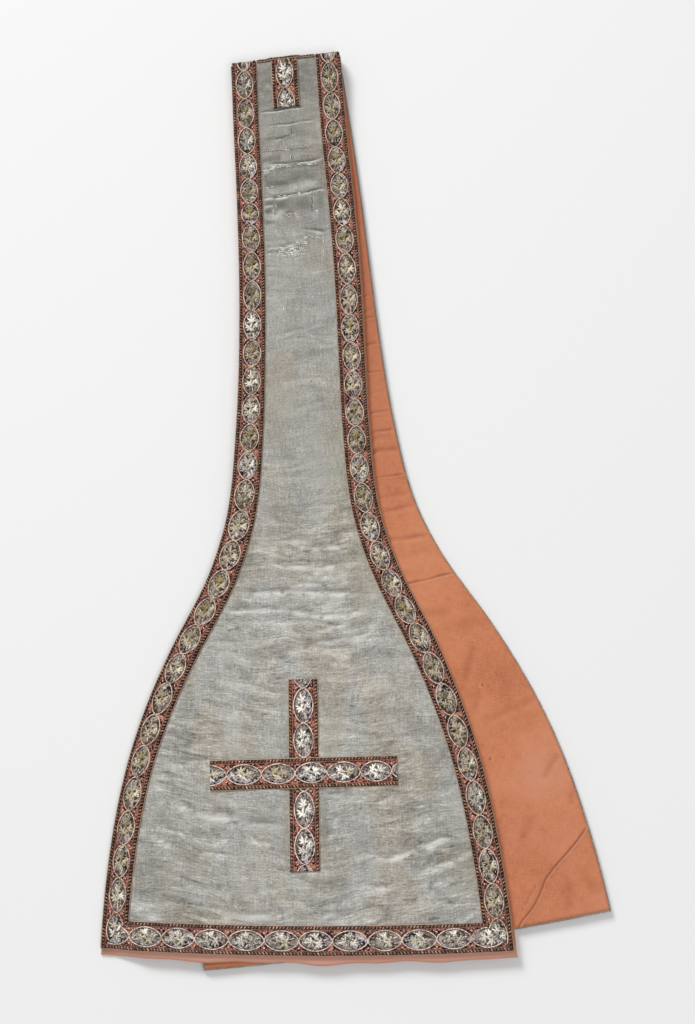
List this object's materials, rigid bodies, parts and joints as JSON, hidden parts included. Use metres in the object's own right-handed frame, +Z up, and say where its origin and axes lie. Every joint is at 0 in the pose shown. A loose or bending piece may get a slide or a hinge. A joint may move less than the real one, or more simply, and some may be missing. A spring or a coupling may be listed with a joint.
{
  "type": "clerical maniple",
  "caption": "Short stole-shaped vestment of silver silk with galloon edges and crosses, lined, folded in two at the neck and laid flat.",
  "frame": {"origin": "middle of the footprint, on the surface that the folded maniple lies on", "axes": "+Y from the hems towards the neck fold, +X to the right seen from above, +Z up"},
  "size_m": [0.2604, 0.5112, 0.0104],
  "materials": {
    "silk": "silver-grey silk taffeta with a watered look, soft sheen",
    "lining": "salmon-orange glazed cotton, nearly matt",
    "galloon": "red-brown woven galloon with pale cords and silver-gilt leaf sprigs"
  },
  "bodies": {
    "root": {"silk": "silk", "lining": "lining", "galloon_left": "galloon", "galloon_right": "galloon", "hem_upper": "galloon", "hem_under": "galloon", "neck_cross": "galloon", "cross_upright": "galloon", "cross_bar": "galloon", "cross_under": "galloon"}
  },
  "joints": []
}
